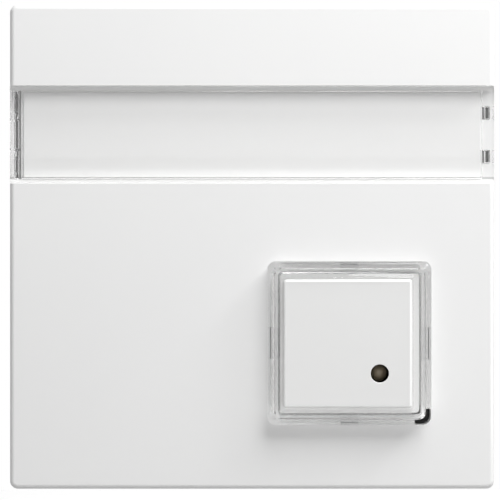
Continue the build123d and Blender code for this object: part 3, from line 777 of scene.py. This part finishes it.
# %% Finish the front plate
MOUTH_RADIUS = 0.16 * MM
MOUTH_STEPS = 4
LEVEL_ROOM = 0.01 * MM
OUTLINE_ROOM = 0.3 * MM


def even_normals(piece):
    """Keeps each large flat face evenly lit right up to its rounded rim."""
    weigh = piece.modifiers.new("even_light", "WEIGHTED_NORMAL")
    weigh.keep_sharp = True
    bake_modifiers(piece)


def at_face(edge):
    """True for an edge that lies in the plate's front face."""
    return all(abs(v.co.y + face) < LEVEL_ROOM for v in edge.verts)


def sunk_under(name):
    """A test for places behind the plate's rounded mouths and within a measured piece's outline."""
    low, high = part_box(name)

    def wanted(place):
        beside = low.x - OUTLINE_ROOM < place.x < high.x + OUTLINE_ROOM
        level = low.z - OUTLINE_ROOM < place.z < high.z + OUTLINE_ROOM
        return beside and level and -place.y <= face - MOUTH_RADIUS

    return wanted


front_plate = rounded_copy("plate_shell", "front_plate", MOUTH_RADIUS, at_face, MOUTH_STEPS)
even_normals(front_plate)
dress(front_plate, plate_white, "plate", "plate_white", "front_plate")
# Painted light: the well under the collar gets the lighter white.
repaint(front_plate, well_painted_light, sunk_under("light_collar"))
repaint(front_plate, trough_white, sunk_under("label_cover"))

# %% [markdown]
# The strip's clear cover gets fine rounds on all its edges: in clear plastic each round edge shows
# as a thin bright line beside a dark one, and that is how the eye finds the piece at all.
# It rests on the trough's floor beside the card, and a ray can't tell two faces at one place apart:
# they come out black. So its base is lifted off the floor by a fiftieth of a millimetre.

# %% Finish the strip's cover
COVER_RADIUS = 0.14 * MM
SEAT_GAP = 0.02 * MM
BASE_ROOM = 0.06 * MM


def lift_base(piece, base):
    """Frees a clear piece from the white face it rests on, so a ray can tell the two faces apart."""
    lifted = 0
    for vertex in piece.data.vertices:
        if abs(-vertex.co.y - base) < BASE_ROOM:
            vertex.co.y -= SEAT_GAP
            lifted += 1
    print(piece.name, "stands clear at", lifted, "points")


strip_cover = rounded_copy("strip_cover", "label_cover", COVER_RADIUS)
lift_base(strip_cover, height_range("label_card")[0])
dress(strip_cover, clear_cover, "strip_cover", "clear_cover", "label_cover")

# %% [markdown]
# The collar round the key is clear too, but its four snap legs stand in narrow slots of the plate
# and read as frosted stubs. So the collar is cut in two at the ledge that it sits on, with a seat
# gap on both sides of the cut. Each leg then fills its slot at the two ends and on the outside, and
# only the gap on its inner side is left to show, as a short dark dash.

# %% Finish the collar and its legs
CLEAR_RADIUS = 0.1 * MM
LEG_RADIUS = CLEAR_RADIUS / 2
LEG_LENGTH = 3.9 * MM
# A leg measures less than this through its thickness, and more across its width.
LEG_THICKNESS_LIMIT = 2.2 * MM
SLOT_ROOM = 0.13 * MM


def islands(mesh):
    """The separate parts of a mesh, each as a list of its vertices."""
    work = bmesh.new()
    work.from_mesh(mesh)
    left = set(work.verts)
    parts = []
    while left:
        front = [left.pop()]
        part = []
        while front:
            vertex = front.pop()
            part.append(vertex.index)
            for edge in vertex.link_edges:
                other = edge.other_vert(vertex)
                if other in left:
                    left.remove(other)
                    front.append(other)
        parts.append(part)
    work.free()
    return parts


def fill_slots(piece, room):
    """Widens each snap leg towards its slot's two ends and outer wall, and leaves its inner gap open."""
    points = piece.data.vertices
    for part in islands(piece.data):
        for axis in (0, 2):
            places = [points[i].co[axis] for i in part]
            low = min(places)
            high = max(places)
            middle = (low + high) / 2
            is_thickness = high - low < LEG_THICKNESS_LIMIT
            outward = 1 if middle > COLLAR_CENTRE[axis] else -1
            for i in part:
                share = (points[i].co[axis] - middle) / (high - low)
                if is_thickness:
                    points[i].co[axis] += outward * room * (0.5 + outward * share)
                else:
                    points[i].co[axis] += 2 * room * share
    print(piece.name, "fill their slots' ends and outer walls")


ledge = height_range("light_collar")[0] + LEG_LENGTH
collar = rounded_copy("collar_ring", "light_collar", CLEAR_RADIUS, cut=ledge + SEAT_GAP)
dress(collar, clear_collar, "plate", "clear_collar", "light_collar")
legs = rounded_copy("collar_legs", "light_collar", LEG_RADIUS, cut=ledge - SEAT_GAP, keep_front=False)
fill_slots(legs, SLOT_ROOM)
dress(legs, frosted_leg, "plate", "clear_collar", "light_collar")

# %% [markdown]
# The key is pressed by a finger, so its edges are rounded, but only just: in the picture its upper
# and right edges are thin bright lines. Its whole rim gets a lighter white than the face: a painted
# highlight for the light that those edges catch through the collar and the window for soft light doesn't give
# them.

# %% Finish the key
KEY_RADIUS = 0.08 * MM
KEY_RIM = (0.005 * MM, 0.2 * MM)
key_front = height_range("key_cap")[1]


def on_key_rim(place):
    """True for a place just behind the key's front face."""
    return KEY_RIM[0] < key_front + place.y < KEY_RIM[1]


key = rounded_copy("key_button", "key_cap", KEY_RADIUS)
even_normals(key)
dress(key, key_white, "key", "key_white", "key_cap")
# The rim's lighter white is a painted highlight.
repaint(key, key_rim_painted_highlight, on_key_rim)

# %% [markdown]
# Behind the key stand two return springs, and a smaller one in the switch. A coil spring is one round
# wire that follows a spiral, so it is a rule and not a shape to draw: a geometry tree winds a spiral
# of the given radius, turns and rise, and sweeps a circle along it. Drawing the turns by hand would
# give hundreds of points and no way to change them. The tree stands the spiral up along the way
# that the key is pressed.

# %% Build the spring tree
FLOAT = "NodeSocketFloat"
VECTOR = "NodeSocketVector"
COUNT = "NodeSocketInt"
YES_OR_NO = "NodeSocketBool"


def new_tree(name, sizes):
    """An empty geometry tree with named size inputs, a material input and its two end nodes."""
    inputs = [*sizes, ("Finish", "NodeSocketMaterial", None)]
    return new_group("GeometryNodeTree", name, inputs, [("Geometry", "NodeSocketGeometry")])


def finish_tree(tree, start, end, shape):
    """Ends a tree with real geometry in its finish."""
    real = tree.nodes.new("GeometryNodeRealizeInstances")
    painted = tree.nodes.new("GeometryNodeSetMaterial")
    tree.links.new(shape, real.inputs["Geometry"])
    tree.links.new(real.outputs["Geometry"], painted.inputs["Geometry"])
    tree.links.new(start.outputs["Finish"], painted.inputs["Material"])
    tree.links.new(painted.outputs["Geometry"], end.inputs["Geometry"])


def stood_up(tree, shape, place=None):
    """Turns a shape that grows along Z so that it grows out of the wall, from a place if one is given."""
    stand = tree.nodes.new("GeometryNodeTransform")
    stand.inputs["Rotation"].default_value = (radians(90), 0, 0)
    tree.links.new(shape, stand.inputs["Geometry"])
    if place is not None:
        tree.links.new(place, stand.inputs["Translation"])
    return stand.outputs["Geometry"]


def wound_wire(tree, radius, wire, turns, rise, steps, sides):
    """A round wire along a spiral about Z that starts at the origin's level."""
    spiral = tree.nodes.new("GeometryNodeCurveSpiral")
    spiral.inputs["Resolution"].default_value = steps
    tree.links.new(turns, spiral.inputs["Rotations"])
    tree.links.new(radius, spiral.inputs["Start Radius"])
    tree.links.new(radius, spiral.inputs["End Radius"])
    tree.links.new(rise, spiral.inputs["Height"])
    circle = tree.nodes.new("GeometryNodeCurvePrimitiveCircle")
    circle.inputs["Resolution"].default_value = sides
    tree.links.new(wire, circle.inputs["Radius"])
    sweep = tree.nodes.new("GeometryNodeCurveToMesh")
    sweep.inputs["Fill Caps"].default_value = True
    tree.links.new(spiral.outputs["Curve"], sweep.inputs["Curve"])
    tree.links.new(circle.outputs["Curve"], sweep.inputs["Profile Curve"])
    return sweep.outputs["Mesh"]


SPRING_STEPS = 32
SPRING_SIDES = 12


def make_spring_tree():
    """A compression spring."""
    sizes = [
        ("Coil Radius", FLOAT, 1.3 * MM),
        ("Wire Radius", FLOAT, 0.18 * MM),
        ("Turns", FLOAT, 5.0),
        ("Rise", FLOAT, 5.0 * MM),
        ("Foot", VECTOR, (0, 0, 0)),
    ]
    tree, start, end = new_tree("wound_spring", sizes)
    size = start.outputs
    form = (size["Coil Radius"], size["Wire Radius"], size["Turns"], size["Rise"])
    wire = wound_wire(tree, *form, SPRING_STEPS, SPRING_SIDES)
    finish_tree(tree, start, end, stood_up(tree, wire, size["Foot"]))
    return tree


spring_tree = make_spring_tree()
print(spring_tree.name, "has", len(spring_tree.nodes), "nodes")

# %% [markdown]
# A tree only runs on an object, through a modifier. The modifier's inputs are known by the sockets'
# identifiers, so a small helper looks each one up by its name. The result is turned into a plain
# mesh at once, because the library wants meshes and no live modifiers.

# %% Wind the three springs
def grow(name, tree, finish, sizes):
    """Runs a geometry tree with given sizes and keeps the result as a plain mesh."""
    piece = bpy.data.objects.new(name, bpy.data.meshes.new(name))
    scene.collection.objects.link(piece)
    run = piece.modifiers.new("grow", "NODES")
    run.node_group = tree
    known = {item.name: item.identifier for item in tree.interface.items_tree if item.in_out == "INPUT"}
    run[known["Finish"]] = finish
    for label, value in sizes.items():
        run[known[label]] = value
    bake_modifiers(piece)
    shade_smooth(piece)
    print(name, "has", len(piece.data.polygons), "faces")
    return piece


# For each spring: its name, the node it stands for, its joint, its wire's radius and its turns.
SPRINGS = [
    ("key_coil_lower", "key_spring_lower", "key_press", 0.18 * MM, 5.0),
    ("key_coil_upper", "key_spring_upper", "key_press", 0.18 * MM, 5.0),
    ("switch_coil", "plunger_spring", "plunger_press", 0.15 * MM, 4.0),
]
for name, node, joint, wire, turns in SPRINGS:
    low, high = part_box(node)
    length = high.y - low.y
    middle = (low + high) / 2
    sizes = {
        "Coil Radius": (high.x - low.x) / 2 - wire,
        "Wire Radius": wire,
        "Turns": turns,
        "Rise": length - 2 * wire,
        "Foot": (middle.x, high.y - wire, middle.z),
    }
    coil = grow(name, spring_tree, spring_steel, sizes)
    dress(coil, spring_steel, "plate", "spring_steel", node)
    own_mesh(coil)
    print(name, "stands", round(length / MM, 2), "mm tall")

# %% [markdown]
# The wires are clamped by four slotted screws in a row, and the key's guide is held by two small
# cross-slotted ones. All are the same thing: a head with one or two slots, a shank and a fine thread.
# So one tree makes a screw from its sizes, cuts the slots by a Boolean, winds a thin ridge for the
# thread, and puts a copy on each point of a line. Copies on points keep every screw exactly alike.

# %% Write the parts of a screw
def lifted(tree, shape, level):
    """Raises a shape along Z."""
    rise = tree.nodes.new("ShaderNodeCombineXYZ")
    move = tree.nodes.new("GeometryNodeTransform")
    tree.links.new(level, rise.inputs["Z"])
    tree.links.new(shape, move.inputs["Geometry"])
    tree.links.new(rise.outputs["Vector"], move.inputs["Translation"])
    return move.outputs["Geometry"]


def bar(tree, across, along, depth):
    """A bar that cuts one driver slot into the back of a head."""
    size = tree.nodes.new("ShaderNodeCombineXYZ")
    tree.links.new(across, size.inputs["X"])
    tree.links.new(along, size.inputs["Y"])
    tree.links.new(depth, size.inputs["Z"])
    cube = tree.nodes.new("GeometryNodeMeshCube")
    tree.links.new(size.outputs["Vector"], cube.inputs["Size"])
    return cube.outputs["Mesh"]


def rod(tree, radius, length, foot, sides):
    """A round rod along Z that starts at a level."""
    cylinder = tree.nodes.new("GeometryNodeMeshCylinder")
    cylinder.inputs["Vertices"].default_value = sides
    tree.links.new(radius, cylinder.inputs["Radius"])
    tree.links.new(length, cylinder.inputs["Depth"])
    return lifted(tree, cylinder.outputs["Mesh"], add_math(tree, "MULTIPLY_ADD", length, 0.5, foot))


def switched(tree, switch, chosen, otherwise=None):
    """A shape where the switch is on, and another one or nothing where it is off."""
    node = tree.nodes.new("GeometryNodeSwitch")
    node.input_type = "GEOMETRY"
    tree.links.new(switch, node.inputs["Switch"])
    tree.links.new(chosen, node.inputs["True"])
    if otherwise is not None:
        tree.links.new(otherwise, node.inputs["False"])
    return node.outputs["Output"]


def copies_in_line(tree, start, shape):
    """A copy of a shape on each point of a line, by the line's count, first place and step."""
    points = tree.nodes.new("GeometryNodeMeshLine")
    tree.links.new(start.outputs["Count"], points.inputs["Count"])
    tree.links.new(start.outputs["First"], points.inputs["Start Location"])
    tree.links.new(start.outputs["Step"], points.inputs["Offset"])
    copies = tree.nodes.new("GeometryNodeInstanceOnPoints")
    tree.links.new(points.outputs["Mesh"], copies.inputs["Points"])
    tree.links.new(shape, copies.inputs["Instance"])
    return copies.outputs["Instances"]


print("parts of a screw ready")

# %% [markdown]
# In the tree the head stands on the origin and the shank grows from it. A single slot runs right
# across the head, so its bar is longer than the head is wide. A crossed pair stays inside the head,
# each as long as the shank is wide. The bars are twice as deep as the slots, since half of each bar
# lies outside the head.

# %% Build the screw tree
TERMINAL_PITCH = 5.08 * MM
LINE_SIZES = [("Count", COUNT, 4), ("First", VECTOR, (0, 0, 0)), ("Step", VECTOR, (TERMINAL_PITCH, 0, 0))]
HEAD_SIDES = 40
SHANK_SIDES = 24
THREAD_STEPS = 20
THREAD_SIDES = 4


def make_screw_tree():
    """A line of screws with one or two driver slots and a threaded shank."""
    sizes = [
        *LINE_SIZES,
        ("Head Radius", FLOAT, 1.6 * MM),
        ("Head Height", FLOAT, 1.5 * MM),
        ("Slot Width", FLOAT, 0.5 * MM),
        ("Slot Depth", FLOAT, 0.6 * MM),
        ("Crossed", YES_OR_NO, False),
        ("Shank Radius", FLOAT, 1.0 * MM),
        ("Shank Length", FLOAT, 3.0 * MM),
        ("Thread Height", FLOAT, 0.09 * MM),
        ("Thread Turns", FLOAT, 6.0),
    ]
    tree, start, end = new_tree("screw_line", sizes)
    size = start.outputs
    shank = size["Shank Radius"]
    slot = size["Slot Width"]
    depth = add_math(tree, "MULTIPLY", size["Slot Depth"], 2.0)
    long_side = add_math(tree, "MULTIPLY", size["Head Radius"], 4.0)
    short_side = add_math(tree, "MULTIPLY", shank, 2.0)
    short_bar = bar(tree, short_side, slot, depth)
    first = switched(tree, size["Crossed"], short_bar, bar(tree, long_side, slot, depth))
    second = switched(tree, size["Crossed"], bar(tree, slot, short_side, depth))
    head = tree.nodes.new("GeometryNodeMeshBoolean")
    head.operation = "DIFFERENCE"
    blank = rod(tree, size["Head Radius"], size["Head Height"], 0.0, HEAD_SIDES)
    tree.links.new(blank, head.inputs["Mesh 1"])
    tree.links.new(first, head.inputs["Mesh 2"])
    tree.links.new(second, head.inputs["Mesh 2"])
    shaft = rod(tree, shank, size["Shank Length"], size["Head Height"], SHANK_SIDES)
    form = (shank, size["Thread Height"], size["Thread Turns"], size["Shank Length"])
    ridge = wound_wire(tree, *form, THREAD_STEPS, THREAD_SIDES)
    screw = tree.nodes.new("GeometryNodeJoinGeometry")
    for shape in (head.outputs["Mesh"], shaft, lifted(tree, ridge, size["Head Height"])):
        tree.links.new(shape, screw.inputs["Geometry"])
    upright = stood_up(tree, screw.outputs["Geometry"])
    finish_tree(tree, start, end, copies_in_line(tree, start, upright))
    return tree


screw_tree = make_screw_tree()
print(screw_tree.name, "has", len(screw_tree.nodes), "nodes")

# %% [markdown]
# The four clamp screws sit in their wells at the back, and the guide's two screws lie on a diagonal.
# Each line's first place and step come from the measured screws' own box, less one head radius.

# %% Set the screws in their places
THREAD = 0.07 * MM
CLAMP_HEAD = 1.6 * MM
EAR_HEAD = 1.9 * MM


def screw_sizes(node, head, head_height, shank, turns, line):
    """The sizes of a line of screws, as tall as their measured box."""
    low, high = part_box(node)
    return {
        **line,
        "Head Radius": head,
        "Head Height": head_height,
        "Slot Width": 0.5 * MM,
        "Slot Depth": 0.6 * MM,
        "Shank Radius": shank - THREAD,
        "Shank Length": high.y - low.y - head_height - THREAD,
        "Thread Height": THREAD,
        "Thread Turns": turns,
    }


clamp_low, clamp_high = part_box("terminal_screws")
clamp_line = {
    "Count": 4,
    "First": (clamp_low.x + CLAMP_HEAD, clamp_high.y, (clamp_low.z + clamp_high.z) / 2),
    "Step": ((clamp_high.x - clamp_low.x - 2 * CLAMP_HEAD) / 3, 0.0, 0.0),
}
clamp_sizes = screw_sizes(
    "terminal_screws", CLAMP_HEAD, head_height=1.5 * MM, shank=1.05 * MM, turns=5.0, line=clamp_line
)
clamp_screws = grow("clamp_screws", screw_tree, screw_steel, clamp_sizes)
dress(clamp_screws, screw_steel, "plate", "screw_steel", "terminal_screws")

ear_low, ear_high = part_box("guide_screws")
ear_line = {
    "Count": 2,
    "First": (ear_low.x + EAR_HEAD, ear_high.y, ear_high.z - EAR_HEAD),
    "Step": (ear_high.x - ear_low.x - 2 * EAR_HEAD, 0.0, -(ear_high.z - ear_low.z - 2 * EAR_HEAD)),
    "Crossed": True,
}
ear_sizes = screw_sizes(
    "guide_screws", EAR_HEAD, head_height=1.1 * MM, shank=1.0 * MM, turns=8.0, line=ear_line
)
ear_screws = grow("ear_screws", screw_tree, screw_steel, ear_sizes)
dress(ear_screws, screw_steel, "plate", "screw_steel", "guide_screws")

# %% [markdown]
# Where the terminals' pins come through the board, solder has run up round them in small cones.
# They are four alike in a line again, so they are a tree too: a cone on each point.

# %% Solder the terminal pins
PIN_HALF = 0.4 * MM
CONE_SIDES = 28


def make_solder_tree():
    """A line of solder cones."""
    sizes = [
        *LINE_SIZES,
        ("Foot Radius", FLOAT, 1.0 * MM),
        ("Top Radius", FLOAT, 0.62 * MM),
        ("Height", FLOAT, 0.5 * MM),
    ]
    tree, start, end = new_tree("solder_line", sizes)
    cone = tree.nodes.new("GeometryNodeMeshCone")
    cone.inputs["Vertices"].default_value = CONE_SIDES
    tree.links.new(start.outputs["Foot Radius"], cone.inputs["Radius Bottom"])
    tree.links.new(start.outputs["Top Radius"], cone.inputs["Radius Top"])
    tree.links.new(start.outputs["Height"], cone.inputs["Depth"])
    upright = stood_up(tree, cone.outputs["Mesh"])
    finish_tree(tree, start, end, copies_in_line(tree, start, upright))
    return tree


solder_tree = make_solder_tree()
pin_low, pin_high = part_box("terminal_pins")
board_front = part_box("circuit_board")[0].y
solder_line = {
    "Count": 4,
    "First": (pin_low.x + PIN_HALF, board_front, (pin_low.z + pin_high.z) / 2),
    "Step": ((pin_high.x - pin_low.x - 2 * PIN_HALF) / 3, 0.0, 0.0),
}
solder = grow("pin_solder", solder_tree, tinned_wire, solder_line)
dress(solder, tinned_wire, "plate", "tinned")

# %% [markdown]
# The remaining pieces keep their measured meshes and only need their finish. The card lies flat
# under its cover, and the others sit behind the plate, where the measured form is already true.

# %% Give the other measured pieces their finish
FINISHES = {
    "label_card": card_white,
    "key_guide": guide_black,
    "support_ring": ring_steel,
    "board_carrier": carrier_grey,
    "circuit_board": board_green,
    "switch_base": switch_black,
    "switch_cover": tinned_wire,
    "switch_plunger": key_white,
    "contact_bridge": contact_brass,
    "fixed_contacts": contact_brass,
    "status_led": lamp_epoxy,
    "led_spacer": switch_black,
    "led_leads": tinned_wire,
    "lamp_resistor": resistor_body,
    "lamp_resistor_leads": tinned_wire,
    "lamp_diode": diode_body,
    "lamp_diode_leads": tinned_wire,
    "terminal_block": terminal_grey,
    "terminal_clamps": contact_brass,
    "terminal_pins": tinned_wire,
}
for name, material in FINISHES.items():
    nodes[name].data.materials.clear()
    nodes[name].data.materials.append(material)
print(len(FINISHES), "measured pieces finished")
